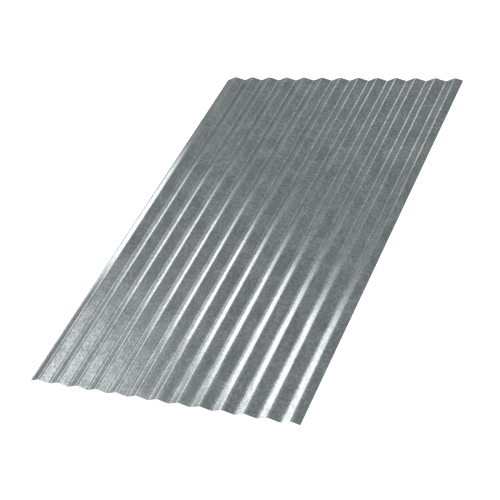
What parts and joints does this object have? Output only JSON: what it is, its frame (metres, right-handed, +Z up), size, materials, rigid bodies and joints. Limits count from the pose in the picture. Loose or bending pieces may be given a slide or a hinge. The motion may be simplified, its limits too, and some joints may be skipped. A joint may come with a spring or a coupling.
{
  "type": "corrugated metal sheet",
  "caption": "Galvanised steel sheet roll-formed into straight shallow waves with narrow rounded crests and valleys, cut square, for cladding roofs, walls and fences.",
  "frame": {"origin": "under the middle of the sheet, on the plane that the undersides of the valleys lie on", "axes": "+X across the waves, from the edge in a valley to the edge on a slope; +Y along the waves; +Z up, out of the crests"},
  "size_m": [1.1808, 1.87, 0.016],
  "materials": {
    "galvanised_steel": "zinc coated, satin, with a fine spangle"
  },
  "bodies": {
    "root": {"corrugated_sheet": "galvanised_steel"}
  },
  "joints": []
}
